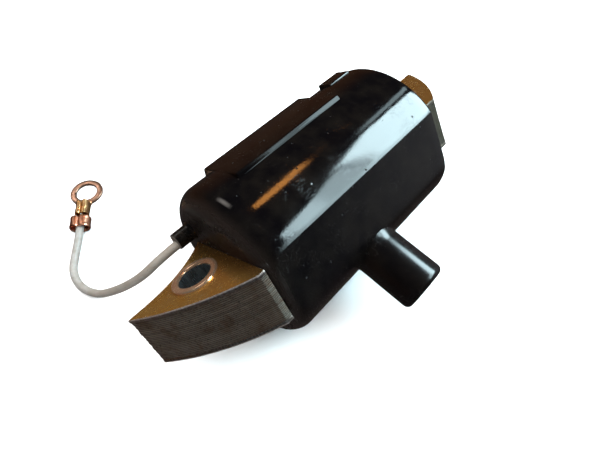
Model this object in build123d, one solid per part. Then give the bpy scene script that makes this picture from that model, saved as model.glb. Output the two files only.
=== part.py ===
from build123d import *
import os
from math import asin, atan2, cos, degrees, hypot, pi, radians, sin, sqrt, tan

# Flywheel-magneto ignition coil: a potted winding in a round moulded case on a laminated core with
# two pole shoes, an HT socket for the plug lead and a primary lead ending in a ring terminal.
# Units are millimetres. The coil frame has x along the case from front to rear, y towards the
# crankshaft and z normal to the laminations. main() rolls the coil into its stored pose on a bench.

# ---- case -------------------------------------------------------------------------------------
CASE_R = 17.5
CASE_L = 48.7
CASE_WALL = 1.9
FRONT_ROUND = 4.0
REAR_ROUND = 0.5
SIDE_FLAT = 16.3            # distance of the flat on the outer side from the axis
FOOT_HALF_WIDTH = 5.0       # half width of the narrow flat along the underside
BENCH_ROLL = 32.87          # roll about x between the coil frame and the bench, degrees
PAD_X = (8.7, 36.3)         # raised platform on the crown
PAD_Y = (-5.5, 7.0)
LUG_X = (41.0, 47.5)        # low lug behind the platform
LUG_Y = (1.0, 5.0)
LUG_RISE = 0.5
PAD_BEVEL = 0.25

# ---- HT socket --------------------------------------------------------------------------------
TOWER_X = 24.0
TOWER_DROP = 39.8           # below the outward horizontal of the coil frame, degrees
TOWER_R = 5.35
TOWER_REACH = 29.9          # mouth of the socket from the case axis
SOCKET_R = 3.6
SOCKET_DEPTH = 9.0
MOUTH_ROUND = 1.5
PILOT_R = 1.9               # contact pin's way through the case wall
PIN_HEAD = 2.0              # bottom of the socket to the shoulder of the contact pin
POINT_R = (0.9, 0.15)       # foot and tip of the pin's point
LINK_R = 14.0               # inner side of the strip below the pin, from the case axis
LINK_T = 0.4
LINK_W = 2.4
LINK_L = 10.0

# ---- core -------------------------------------------------------------------------------------
LAMINATION_T = 0.4
LAMINATION_COUNT = 25
PLATE_T = 0.8
STACK_HALF = LAMINATION_T * LAMINATION_COUNT / 2
PLATED_HALF = STACK_HALF + PLATE_T
LIMB_HALF_Y = 5.4           # core limb inside the case
TENON_L = 2.4               # end of the limb that is pressed into the rear shoe
TENON_HALF_Y = 3.0
MIRROR_X = 24.3             # middle plane of the flywheel, and of the two shoes
FLYWHEEL_Y = 29.7           # flywheel axis
POLE_ARC_R = 52.2
FRONT_SHOE_SIDE = -15.8
FRONT_TIP_Y = 1.4
FRONT_ROOT_Y = 8.0
FRONT_SWEEP_X = 16.5        # where the straight tip ends, from the case's front face
REAR_SHOE_SIDE = -12.2
REAR_TIP_Y = 4.9
REAR_ROOT_Y = 10.8
REAR_SWEEP_X = 16.0
HOLE_Y = -2.3
HOLE_OFFSET_X = 31.0        # mounting holes from the middle plane
HOLE_R = 3.2                # clearance for an M6 bolt
EYELET_WALL = 0.6
EYELET_FLANGE_R = 4.6
EYELET_FLANGE_T = 0.5
EYELET_ROUND = 0.3

# ---- windings ---------------------------------------------------------------------------------
FIT_GAP = 0.1
BOBBIN_WALL = 0.9
BOBBIN_X = (4.0, 43.0)
CHEEK_T = 1.2
PRIMARY_R = 9.4
WRAP_T = 0.3
SECONDARY_TUBE_R = (9.8, 10.6)
SECONDARY_R = 13.6
SECONDARY_CHEEK_R = 14.4
SECONDARY_SECTIONS = 5
SECTION_RIB_T = 0.8
POTTING_RECESS = 0.5

# ---- primary lead -----------------------------------------------------------------------------
BOSS_Y = 7.5
BOSS_Z = 8.85
BOSS_R = 1.75
BOSS_L = 3.8
BOSS_ROUND = 0.2
LEAD_Z = 8.25               # the lead leaves a little below the middle of the boss
LEAD_D = 1.8
CONDUCTOR_D = 1.1
SOLDER_R = 1.2
TAB_X = (2.4, 3.9)          # earthing tab between the bobbin and the front wall
TAB_Y = (-9.0, -5.4)
TAB_Z = (-1.5, 1.5)
TAB_T = 0.4

# Route of the lead on the bench, in the stored frame: out of the boss, down, and round to the
# terminal. The last two points run up the axis of the terminal's crimps.
LEAD_ROUTE = [
    (-29.14, 17.11, 19.63),
    (-33.10, 17.11, 19.63),
    (-37.00, 18.06, 17.30),
    (-39.90, 21.66, 12.40),
    (-42.50, 26.56, 6.60),
    (-45.20, 31.46, 2.00),
    (-46.90, 36.56, 0.92),
    (-46.00, 41.56, 0.92),
    (-42.90, 45.26, 0.95),
    (-39.30, 48.66, 1.70),
    (-36.10, 52.76, 1.70),
]

# ---- ring terminal ----------------------------------------------------------------------------
RING_OUTER_R = 4.1
RING_HOLE_R = 2.65          # clearance for an M5 stud
SHEET_T = 0.7
CRIMP_AXIS_Z = 1.7
CRIMP_WALL = 0.55
WIRE_CRIMP_L = 4.0
INSULATION_CRIMP_L = 3.0
CRIMP_GAP = 1.2
NECK_L = 0.2
NECK_HALF_W = 1.7
INSULATION_CRIMP_HALF_W = 2.45


STANDING = (Align.CENTER, Align.CENTER, Align.MIN)


def x_cylinder(radius, x_start, x_end, y=0.0, z=0.0):
    """A round bar along x."""
    return Pos((x_start + x_end) / 2, y, z) * Rot(0, 90, 0) * Cylinder(radius, x_end - x_start)


def block(x, y, z):
    """A box between pairs of limits."""
    size = [pair[1] - pair[0] for pair in (x, y, z)]
    middle = [(pair[1] + pair[0]) / 2 for pair in (x, y, z)]
    return Pos(*middle) * Box(*size)


def along_tower(radius, start, end):
    """A round bar on the axis of the HT socket, between two distances from the case axis."""
    bar = Pos(0, 0, (start + end) / 2) * Cylinder(radius, end - start)
    return Pos(TOWER_X, 0, 0) * Rot(90 + TOWER_DROP, 0, 0) * bar


# ---- case -------------------------------------------------------------------------------------

def case_body(radius, x_start, x_end, front_round):
    """The case's round form with its side and foot flats, for the outside and the inside."""
    body = x_cylinder(radius, x_start, x_end)
    ends = body.edges().filter_by(GeomType.CIRCLE).sort_by(Axis.X)
    body = fillet(ends[0], front_round)
    inset = CASE_R - radius
    side = block((x_start, x_end), (-2 * CASE_R, -SIDE_FLAT + inset), (-CASE_R, CASE_R))
    foot_reach = sqrt(CASE_R**2 - FOOT_HALF_WIDTH**2) - inset
    foot = block((x_start, x_end), (-CASE_R, CASE_R), (-2 * CASE_R, -foot_reach))
    return body - side - Rot(BENCH_ROLL, 0, 0) * foot


def coil_case():
    outer = case_body(CASE_R, 0, CASE_L, FRONT_ROUND)
    rear = outer.faces().sort_by(Axis.X)[-1].outer_wire().edges()
    outer = fillet(rear, REAR_ROUND)
    pad = block(PAD_X, PAD_Y, (CASE_R - 4, CASE_R))
    pad = chamfer(pad.faces().sort_by(Axis.Z)[-1].edges(), PAD_BEVEL)
    lug = block(LUG_X, LUG_Y, (CASE_R / 2, CASE_R + LUG_RISE))
    lug = lug & x_cylinder(CASE_R + LUG_RISE, *LUG_X)
    tower = along_tower(TOWER_R, 0, TOWER_REACH)
    mouth = tower.edges().filter_by(GeomType.CIRCLE).sort_by(Axis.Z)[0]
    tower = fillet(mouth, MOUTH_ROUND)
    inner = case_body(CASE_R - CASE_WALL, CASE_WALL, CASE_L, FRONT_ROUND - CASE_WALL)
    shell = outer + pad + lug + tower - inner
    seat = along_tower(TOWER_R, LINK_R + LINK_T + FIT_GAP, CASE_R)
    shell = shell + seat
    shell = shell - along_tower(SOCKET_R, TOWER_REACH - SOCKET_DEPTH, TOWER_REACH + 1)
    shell = shell - along_tower(PILOT_R, 0, TOWER_REACH - SOCKET_DEPTH)
    shell = shell - limb_hole((-1, CASE_WALL + 1))
    shell = shell - x_cylinder(SOLDER_R, -1, CASE_WALL + 1, BOSS_Y, LEAD_Z)
    return shell


def limb_hole(x):
    """The rectangular way for the core limb."""
    half_y = LIMB_HALF_Y + FIT_GAP
    half_z = STACK_HALF + FIT_GAP
    return block(x, (-half_y, half_y), (-half_z, half_z))


def potting_resin():
    """Resin between the windings and the case, and the flat fill that closes the rear."""
    rear = CASE_L - POTTING_RECESS
    fill = case_body(CASE_R - CASE_WALL, CASE_WALL, CASE_L, FRONT_ROUND - CASE_WALL)
    fill = fill - block((rear, CASE_L + 1), (-20, 20), (-20, 20))
    cavity = x_cylinder(SECONDARY_CHEEK_R + FIT_GAP, BOBBIN_X[0] - 0.5, BOBBIN_X[1] + 0.5)
    fill = fill - cavity - limb_hole((0, CASE_L + 1))
    fill = fill - along_tower(TOWER_R + FIT_GAP, 0, CASE_R)
    fill = fill - block(TAB_X, TAB_Y, TAB_Z)
    return fill - x_cylinder(SOLDER_R, 0, BOBBIN_X[0], BOSS_Y, LEAD_Z)


# ---- core -------------------------------------------------------------------------------------

def pole_x(y):
    """Distance of the pole arc from the middle plane at a height across the core."""
    return sqrt(POLE_ARC_R**2 - (FLYWHEEL_Y - y) ** 2)


def shoe_face(side_y, tip_y, root_y, sweep_x, face_gap):
    """Outline of a pole shoe, drawn to the right of the middle plane and mirrored for the front."""
    root_x = face_gap
    corner = (pole_x(side_y), side_y)
    tip = (pole_x(tip_y), tip_y)
    middle_y = (side_y + tip_y) / 2
    arc = ThreePointArc(corner, (pole_x(middle_y), middle_y), tip)
    tip_flat = Line(tip, (root_x + sweep_x, tip_y))
    sweep = TangentArc((root_x + sweep_x, tip_y), (root_x, root_y), tangent=(-1, 0))
    root = Line((root_x, root_y), (root_x, side_y))
    side = Line((root_x, side_y), corner)
    return make_face(Wire([arc, tip_flat, sweep, root, side]))


def front_shoe():
    face = shoe_face(FRONT_SHOE_SIDE, FRONT_TIP_Y, FRONT_ROOT_Y, FRONT_SWEEP_X, MIRROR_X)
    face = mirror(face, about=Plane.YZ)
    return Pos(MIRROR_X, 0, 0) * face


def rear_shoe():
    gap = CASE_L - MIRROR_X
    face = shoe_face(REAR_SHOE_SIDE, REAR_TIP_Y, REAR_ROOT_Y, REAR_SWEEP_X, gap)
    return Pos(MIRROR_X, 0, 0) * face


def plan_rectangle(x, y):
    centre = ((x[0] + x[1]) / 2, (y[0] + y[1]) / 2)
    return Pos(*centre, 0) * Rectangle(x[1] - x[0], y[1] - y[0])


def tenon(grow):
    """Stepped end of the limb that sits in the rear shoe."""
    return plan_rectangle((CASE_L - 1, CASE_L + TENON_L + grow), (-TENON_HALF_Y, TENON_HALF_Y))


def front_lamination():
    limb = plan_rectangle((-0.5, CASE_L), (-LIMB_HALF_Y, LIMB_HALF_Y))
    return front_shoe() + limb + tenon(0) - eyelet_hole(-1)


def rear_lamination():
    return rear_shoe() - tenon(0) - eyelet_hole(1)


def eyelet_hole(side):
    return Pos(MIRROR_X + side * HOLE_OFFSET_X, HOLE_Y, 0) * Circle(HOLE_R + EYELET_WALL)


def stack(face):
    """All the laminations of one shape, as separate solids."""
    sheets = []
    for index in range(LAMINATION_COUNT):
        bottom = -STACK_HALF + index * LAMINATION_T
        sheets.append(Pos(0, 0, bottom) * extrude(face, LAMINATION_T))
    return sheets


def end_plate(face, bottom):
    return Pos(0, 0, bottom) * extrude(face, PLATE_T)


def circles_of(body, radius):
    circles = body.edges().filter_by(GeomType.CIRCLE)
    return circles.filter_by(lambda edge: abs(edge.radius - radius) < 0.01)


def eyelet(side):
    """Tubular rivet that holds a shoe together and takes the mounting bolt."""
    half = PLATED_HALF + EYELET_FLANGE_T
    body = Cylinder(HOLE_R + EYELET_WALL, 2 * PLATED_HALF)
    for end in (-1, 1):
        flange = Pos(0, 0, end * (half + PLATED_HALF) / 2) * Cylinder(EYELET_FLANGE_R, EYELET_FLANGE_T)
        body = body + flange
    rims = circles_of(body, EYELET_FLANGE_R).sort_by(Axis.Z)
    body = fillet([rims[0], rims[-1]], EYELET_ROUND)
    body = body - Cylinder(HOLE_R, 3 * half)
    body = fillet(circles_of(body, HOLE_R), EYELET_ROUND)
    return Pos(MIRROR_X + side * HOLE_OFFSET_X, HOLE_Y, 0) * body


# ---- windings ---------------------------------------------------------------------------------

def primary_bobbin():
    tube_y = LIMB_HALF_Y + 2 * FIT_GAP + BOBBIN_WALL
    tube_z = STACK_HALF + 2 * FIT_GAP + BOBBIN_WALL
    body = block(BOBBIN_X, (-tube_y, tube_y), (-tube_z, tube_z))
    for start in (BOBBIN_X[0], BOBBIN_X[1] - CHEEK_T):
        body = body + x_cylinder(PRIMARY_R, start, start + CHEEK_T)
    half_y = LIMB_HALF_Y + FIT_GAP
    half_z = STACK_HALF + FIT_GAP
    return body - block((0, CASE_L), (-half_y, half_y), (-half_z, half_z))


def primary_winding():
    tube_y = LIMB_HALF_Y + 2 * FIT_GAP + BOBBIN_WALL
    tube_z = STACK_HALF + 2 * FIT_GAP + BOBBIN_WALL
    start, end = BOBBIN_X[0] + CHEEK_T, BOBBIN_X[1] - CHEEK_T
    coil = x_cylinder(PRIMARY_R, start, end)
    return coil - block((0, CASE_L), (-tube_y, tube_y), (-tube_z, tube_z))


def tube(radii, x):
    return x_cylinder(radii[1], *x) - x_cylinder(radii[0], x[0] - 1, x[1] + 1)


def interwinding_insulation():
    return tube((PRIMARY_R, PRIMARY_R + WRAP_T), BOBBIN_X)


def section_starts():
    """Front face of each rib of the secondary bobbin."""
    pitch = (BOBBIN_X[1] - BOBBIN_X[0] - SECTION_RIB_T) / SECONDARY_SECTIONS
    return [BOBBIN_X[0] + index * pitch for index in range(SECONDARY_SECTIONS + 1)]


def secondary_bobbin():
    body = tube(SECONDARY_TUBE_R, BOBBIN_X)
    for start in section_starts():
        body = body + tube((SECONDARY_TUBE_R[0], SECONDARY_R), (start, start + SECTION_RIB_T))
    return body


def secondary_windings():
    starts = section_starts()
    rings = []
    for start, following in zip(starts[:-1], starts[1:]):
        rings.append(tube((SECONDARY_TUBE_R[1], SECONDARY_R), (start + SECTION_RIB_T, following)))
    return rings


def outer_winding_wrap():
    wrap = tube((SECONDARY_R, SECONDARY_R + WRAP_T), BOBBIN_X)
    return wrap - along_tower(PILOT_R, 0, CASE_R)


# ---- connections ------------------------------------------------------------------------------

def ht_contact_pin():
    """Pointed brass pin in the bottom of the HT socket."""
    shoulder = TOWER_REACH - SOCKET_DEPTH - PIN_HEAD
    shank = along_tower(PILOT_R, LINK_R + LINK_T, shoulder)
    spike = Pos(0, 0, shoulder) * Cone(*POINT_R, PIN_HEAD - FIT_GAP, align=STANDING)
    return shank + Pos(TOWER_X, 0, 0) * Rot(90 + TOWER_DROP, 0, 0) * spike


def ht_link_strip():
    """Strip from the last turn of the secondary to the foot of the contact pin."""
    strip = Pos(LINK_L / 2 - PILOT_R, 0, LINK_R + LINK_T / 2) * Box(LINK_L, LINK_W, LINK_T)
    return Pos(TOWER_X, 0, 0) * Rot(90 + TOWER_DROP, 0, 0) * strip


def primary_ground_tab():
    """Folded tab that earths the primary on the core limb."""
    riser = block((TAB_X[0], TAB_X[0] + TAB_T), TAB_Y, TAB_Z)
    foot = block(TAB_X, (TAB_Y[0], TAB_Y[0] + TAB_T), TAB_Z)
    return riser + foot


def lead_solder_joint():
    """Soldered joint of the lead and the start of the primary, just inside the case."""
    return Pos(BOBBIN_X[0] - SOLDER_R, BOSS_Y, LEAD_Z) * Sphere(SOLDER_R)


def lead_grommet():
    """Round outlet boss for the primary lead on the front of the case."""
    boss = x_cylinder(BOSS_R, -BOSS_L, 0, BOSS_Y, BOSS_Z)
    rim = boss.edges().filter_by(GeomType.CIRCLE).sort_by(Axis.X)[0]
    return fillet(rim, BOSS_ROUND)


def lead_radii(route):
    """The largest even arc that each corner's two runs allow."""
    radii = []
    for before, here, after in zip(route, route[1:], route[2:]):
        arriving = Vector(*here) - Vector(*before)
        leaving = Vector(*after) - Vector(*here)
        turn = radians(arriving.get_angle(leaving))
        radii.append(0.45 * min(arriving.length, leaving.length) / tan(turn / 2))
    return radii


def primary_lead():
    radii = lead_radii(LEAD_ROUTE)
    print("lead arc radii:", [round(radius, 1) for radius in radii])
    path = FilletPolyline(*LEAD_ROUTE, radius=radii)
    start = Plane(origin=path @ 0, z_dir=path % 0)
    cord = sweep(start * Circle(LEAD_D / 2), path=path)
    expected = pi * (LEAD_D / 2) ** 2 * path.length
    print("lead length", round(path.length, 1), "volume", round(cord.volume, 1), round(expected, 1))
    return cord


def terminal_plane():
    """Bench plane at the end of the lead, x pointing on towards the ring."""
    before, end = LEAD_ROUTE[-2], LEAD_ROUTE[-1]
    heading = Vector(end[0] - before[0], end[1] - before[1], 0)
    return Plane(origin=(end[0], end[1], 0), x_dir=heading, z_dir=(0, 0, 1))


def crimp(start, end, half_width):
    """A closed crimp barrel, wider than high, round the lead's axis."""
    section = Ellipse(CRIMP_AXIS_Z, half_width) if half_width > CRIMP_AXIS_Z else Circle(CRIMP_AXIS_Z)
    barrel = extrude(section, end - start)
    return Pos(start, 0, CRIMP_AXIS_Z) * Rot(90, 0, 90) * barrel


def ring_terminal(lead):
    """Copper sheet terminal: insulation crimp, wire crimp, neck and ring, from the lead outwards."""
    insulation_start = -INSULATION_CRIMP_L
    wire_start = CRIMP_GAP
    wire_end = wire_start + WIRE_CRIMP_L
    ring_x = wire_end + NECK_L + RING_OUTER_R
    strip = block((insulation_start, ring_x), (-NECK_HALF_W, NECK_HALF_W), (0, SHEET_T))
    ring = Pos(ring_x, 0, SHEET_T / 2) * Cylinder(RING_OUTER_R, SHEET_T)
    body = strip + ring + crimp(insulation_start, 0, INSULATION_CRIMP_HALF_W)
    body = body + crimp(wire_start, wire_end, CRIMP_AXIS_Z)
    body = body - Pos(0, 0, CRIMP_AXIS_Z) * Rot(0, 90, 0) * Cylinder(CONDUCTOR_D / 2, 30)
    body = body - Pos(ring_x, 0, 0) * Cylinder(RING_HOLE_R, 10)
    return terminal_plane() * body - lead


def lead_conductor():
    """Stranded core of the lead, bare between and just past the crimps."""
    end = CRIMP_GAP + WIRE_CRIMP_L + 0.8
    strands = Pos(end / 2, 0, CRIMP_AXIS_Z) * Rot(0, 90, 0) * Cylinder(CONDUCTOR_D / 2, end)
    return terminal_plane() * strands


# ---- assembly ---------------------------------------------------------------------------------

def coil_frame_nodes():
    front, rear = front_shoe() - eyelet_hole(-1), rear_shoe() - eyelet_hole(1)
    return {
        "coil_case": coil_case(),
        "potting_resin": potting_resin(),
        "front_core_laminations": stack(front_lamination()),
        "rear_core_laminations": stack(rear_lamination()),
        "front_top_plate": end_plate(front, STACK_HALF),
        "front_bottom_plate": end_plate(front, -PLATED_HALF),
        "rear_top_plate": end_plate(rear, STACK_HALF),
        "rear_bottom_plate": end_plate(rear, -PLATED_HALF),
        "front_mounting_eyelet": eyelet(-1),
        "rear_mounting_eyelet": eyelet(1),
        "primary_bobbin": primary_bobbin(),
        "primary_winding": primary_winding(),
        "interwinding_insulation": interwinding_insulation(),
        "secondary_bobbin": secondary_bobbin(),
        "secondary_windings": secondary_windings(),
        "outer_winding_wrap": outer_winding_wrap(),
        "ht_contact_pin": ht_contact_pin(),
        "ht_link_strip": ht_link_strip(),
        "primary_ground_tab": primary_ground_tab(),
        "lead_solder_joint": lead_solder_joint(),
        "lead_grommet": lead_grommet(),
    }


def solids_of(shape):
    shapes = shape if isinstance(shape, list) else [shape]
    return [solid for item in shapes for solid in item.solids()]


def main():
    os.makedirs("parts", exist_ok=True)
    roll = Rot(BENCH_ROLL, 0, 0).inverse()
    nodes = {name: [roll * solid for solid in solids_of(shape)]
             for name, shape in coil_frame_nodes().items()}
    box = Compound([solid for solids in nodes.values() for solid in solids]).bounding_box()
    centre = box.center()
    print("case axis in the stored frame:", -centre.X, -centre.Y, -box.min.Z)
    settle = Pos(-centre.X, -centre.Y, -box.min.Z)
    placed = {name: [settle * solid for solid in solids] for name, solids in nodes.items()}
    lead = primary_lead()
    placed["primary_lead"] = solids_of(lead)
    placed["lead_conductor"] = solids_of(lead_conductor())
    placed["ring_terminal"] = solids_of(ring_terminal(lead))
    for name, solids in placed.items():
        shape = solids[0] if len(solids) == 1 else Compound(solids)
        export_step(shape, f"parts/{name}.step")
        print(name, len(solids), "solids", round(sum(solid.volume for solid in solids), 1))


main()
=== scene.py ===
import math
import random

import bmesh
import bpy
from mathutils import Matrix, Vector, noise


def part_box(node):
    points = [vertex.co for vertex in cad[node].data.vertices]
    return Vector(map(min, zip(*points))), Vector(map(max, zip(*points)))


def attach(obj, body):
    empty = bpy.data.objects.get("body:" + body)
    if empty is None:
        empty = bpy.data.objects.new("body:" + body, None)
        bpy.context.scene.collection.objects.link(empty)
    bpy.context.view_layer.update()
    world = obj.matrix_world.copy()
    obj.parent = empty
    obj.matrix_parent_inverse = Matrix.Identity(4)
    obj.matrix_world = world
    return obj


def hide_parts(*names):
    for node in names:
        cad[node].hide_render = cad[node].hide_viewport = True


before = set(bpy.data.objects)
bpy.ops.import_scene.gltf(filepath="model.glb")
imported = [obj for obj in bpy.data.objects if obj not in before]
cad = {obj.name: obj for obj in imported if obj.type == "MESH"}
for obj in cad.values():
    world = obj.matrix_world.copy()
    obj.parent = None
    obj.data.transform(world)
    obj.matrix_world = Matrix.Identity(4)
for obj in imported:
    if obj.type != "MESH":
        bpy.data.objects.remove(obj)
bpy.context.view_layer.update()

# Lengths are in metres. MM turns the drawing's millimetres into metres.
MM = 0.001
random.seed(7)

# ---- the coil's own frame ----
# x runs along the case from the lead end, y towards the crankshaft and z normal to the laminations.
# The coil lies rolled about x, with its foot flat on the bench.
BENCH_ROLL = math.radians(32.87)
CASE_R = 17.5
CASE_L = 48.7
FOOT_REACH = 16.7705
CASE_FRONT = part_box("coil_case")[0].x / MM
EYELET_LOW, EYELET_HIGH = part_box("front_mounting_eyelet")
EYELET_XY = (-6.7, -2.3)
EYELET_CENTRE = (EYELET_LOW + EYELET_HIGH) / 2 / MM
AXIS_Y = EYELET_CENTRE.y - math.cos(BENCH_ROLL) * EYELET_XY[1]
TO_BENCH = Matrix.Translation((CASE_FRONT, AXIS_Y, FOOT_REACH)) @ Matrix.Rotation(-BENCH_ROLL, 4, "X")


def placed(point):
    """A point of the coil's frame, in millimetres, in the row frame in metres."""
    return (TO_BENCH @ Vector(point)) * MM


# ---- camera ----
# The camera's place and axes are given in the coil's frame, and it stands level on the bench.
CAMERA_AT = (-21.1, -72.0, 43.8)
CAMERA_FORWARD = Vector((0.4152, 0.7638, -0.4945))
CAMERA_LENS = 26.46
CAMERA_SENSOR = 36.0


def make_camera():
    data = bpy.data.cameras.new("camera")
    data.sensor_width = CAMERA_SENSOR
    data.lens = CAMERA_LENS
    data.clip_start = 0.005
    camera = bpy.data.objects.new("camera", data)
    bpy.context.scene.collection.objects.link(camera)
    forward = (TO_BENCH.to_3x3() @ CAMERA_FORWARD).normalized()
    right = forward.cross(Vector((0, 0, 1))).normalized()
    up = right.cross(forward)
    turn = Matrix((right, up, -forward)).transposed().to_4x4()
    camera.matrix_world = Matrix.Translation(placed(CAMERA_AT)) @ turn
    bpy.context.scene.camera = camera


make_camera()

# ---- primary lead ----
LEAD_D = 1.8
LEAD_ROUTE = [
    (-29.14, 17.11, 19.63),
    (-33.10, 17.11, 19.63),
    (-37.00, 18.06, 17.30),
    (-39.90, 21.66, 12.40),
    (-42.50, 26.56, 6.60),
    (-45.20, 31.46, 2.00),
    (-46.90, 36.56, 0.92),
    (-46.00, 41.56, 0.92),
    (-42.90, 45.26, 0.95),
    (-39.30, 48.66, 1.70),
    (-36.10, 52.76, 1.70),
]


def make_lead():
    data = bpy.data.curves.new("lead", "CURVE")
    data.dimensions = "3D"
    spline = data.splines.new("NURBS")
    spline.points.add(len(LEAD_ROUTE) - 1)
    for point, place in zip(spline.points, LEAD_ROUTE):
        point.co = (*(value * MM for value in place), 1.0)
        point.radius = LEAD_D / 2 * MM
    spline.order_u = 3
    spline.use_endpoint_u = True
    spline.resolution_u = 16
    data.bevel_depth = 1.0  # times each point's radius
    data.bevel_resolution = 8
    data.use_fill_caps = True
    lead = bpy.data.objects.new("lead_wire", data)
    bpy.context.scene.collection.objects.link(lead)
    return lead


lead_wire = make_lead()

# ---- helpers ----


def add_mesh(name, builder, smooth=True):
    """A new object from a bmesh in row-frame metres."""
    mesh = bpy.data.meshes.new(name)
    builder.to_mesh(mesh)
    builder.free()
    for polygon in mesh.polygons:
        polygon.use_smooth = smooth
    obj = bpy.data.objects.new(name, mesh)
    bpy.context.scene.collection.objects.link(obj)
    return obj


def apply_modifiers(obj):
    """Bakes an object's modifiers into its mesh."""
    bpy.context.view_layer.update()
    graph = bpy.context.evaluated_depsgraph_get()
    mesh = bpy.data.meshes.new_from_object(obj.evaluated_get(graph))
    old = obj.data
    obj.modifiers.clear()
    obj.data = mesh
    bpy.data.meshes.remove(old)


def smooth_by_angle(obj, degrees):
    mesh = obj.data
    limit = math.radians(degrees)
    for polygon in mesh.polygons:
        polygon.use_smooth = True
    working = bmesh.new()
    working.from_mesh(mesh)
    for edge in working.edges:
        edge.smooth = len(edge.link_faces) == 2 and edge.calc_face_angle(0.0) < limit
    working.to_mesh(mesh)
    working.free()


def show(obj, degrees, node):
    """Finishes a piece: smooth up to an angle, fixed to the coil, in place of a CAD node."""
    smooth_by_angle(obj, degrees)
    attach(obj, "root")
    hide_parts(node)
    return obj


def closed_mesh(name, builder):
    """An object from a closed bmesh, its faces turned outwards."""
    bmesh.ops.recalc_face_normals(builder, faces=builder.faces)
    return add_mesh(name, builder)


def circle(centre, radius, steps):
    """Points round a circle in a plane."""
    turns = (2 * math.pi * step / steps for step in range(steps))
    return [(centre[0] + radius * math.cos(a), centre[1] + radius * math.sin(a)) for a in turns]


def join_loops(builder, loops, turned=False):
    """Walls between rings of vertices, all of one length."""
    for low, high in zip(loops, loops[1:]):
        for index in range(len(low)):
            after = (index + 1) % len(low)
            face = (low[index], low[after], high[after], high[index])
            builder.faces.new(face[::-1] if turned else face)


def fan(builder, loop, centre):
    """Closes a ring of vertices with triangles to a point in row-frame metres."""
    hub = builder.verts.new(centre)
    for index in range(len(loop)):
        builder.faces.new((loop[index], loop[(index + 1) % len(loop)], hub))


def fill_between(builder, rim, bore):
    """Closes the flat face between two rings of vertices."""
    edges = []
    for loop in (rim, bore):
        for index in range(len(loop)):
            pair = (loop[index], loop[(index + 1) % len(loop)])
            edges.append(builder.edges.get(pair) or builder.edges.new(pair))
    bmesh.ops.triangle_fill(builder, use_beauty=True, use_dissolve=False, edges=edges)


def lathe(name, profile, matrix, steps=96):
    """A closed profile of (radius, height) points turned about z, placed by matrix, in millimetres."""
    builder = bmesh.new()
    rings = []
    for step in range(steps):
        angle = 2 * math.pi * step / steps
        direction = Vector((math.cos(angle), math.sin(angle), 0))
        ring = [builder.verts.new((matrix @ (direction * r + Vector((0, 0, h)))) * MM) for r, h in profile]
        rings.append(ring)
    count = len(profile)
    for step in range(steps):
        here, following = rings[step], rings[(step + 1) % steps]
        for index in range(count):
            after = (index + 1) % count
            builder.faces.new((here[index], following[index], following[after], here[after]))
    bmesh.ops.remove_doubles(builder, verts=builder.verts, dist=1e-7)
    loose = [edge for edge in builder.edges if not edge.link_faces]
    bmesh.ops.delete(builder, geom=loose, context="EDGES")
    return closed_mesh(name, builder)


def rounded(profile, radii, steps=5):
    """Rounds the corners of a closed profile of 2-D points, one radius for each corner."""
    result = []
    count = len(profile)
    for index, (point, radius) in enumerate(zip(profile, radii)):
        here = Vector(point)
        before = Vector(profile[index - 1]) - here
        after = Vector(profile[(index + 1) % count]) - here
        if radius <= 0:
            result.append(tuple(here))
            continue
        start = here + before.normalized() * radius
        end = here + after.normalized() * radius
        for step in range(steps + 1):
            t = step / steps
            result.append(tuple(start.lerp(here, t).lerp(here.lerp(end, t), t)))
    return result


# ---- shapes of the core ----
MIRROR_X = 24.3
FLYWHEEL_Y = 29.7
POLE_ARC_R = 52.2
STACK_HALF = 5.0
LAMINATION_T = 0.4
LAMINATION_COUNT = 25
PLATE_T = 0.8
HOLE_Y = -2.3
HOLE_OFFSET_X = 31.0
EYELET_OUTER_R = 3.8
HOLE_FREE = 0.02
SHOE_SHY = 0.02
SHEET_GAP = 0.01
LIMB_HALF_Y = 5.4
TENON_L = 2.4
TENON_HALF_Y = 3.0
FRONT_SHOE = {"side": -15.8, "tip": 1.4, "root": 8.0, "sweep": 16.5, "gap": MIRROR_X, "sign": -1}
REAR_SHOE = {"side": -12.2, "tip": 4.9, "root": 10.8, "sweep": 16.0, "gap": CASE_L - MIRROR_X, "sign": 1}


def limb_points(shoe):
    """The core limb and its tenon behind the front shoe, or the slot for the tenon in the rear one."""
    root = shoe["gap"]
    if shoe["sign"] > 0:
        ys = (TENON_HALF_Y, TENON_HALF_Y, -TENON_HALF_Y, -TENON_HALF_Y)
        return list(zip((root, root + TENON_L, root + TENON_L, root), ys))
    limb_end, tenon_end = root - CASE_L, root - CASE_L - TENON_L
    half = [(root, LIMB_HALF_Y), (limb_end, LIMB_HALF_Y), (limb_end, TENON_HALF_Y), (tenon_end, TENON_HALF_Y)]
    return half + [(x, -y) for x, y in reversed(half)]


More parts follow.
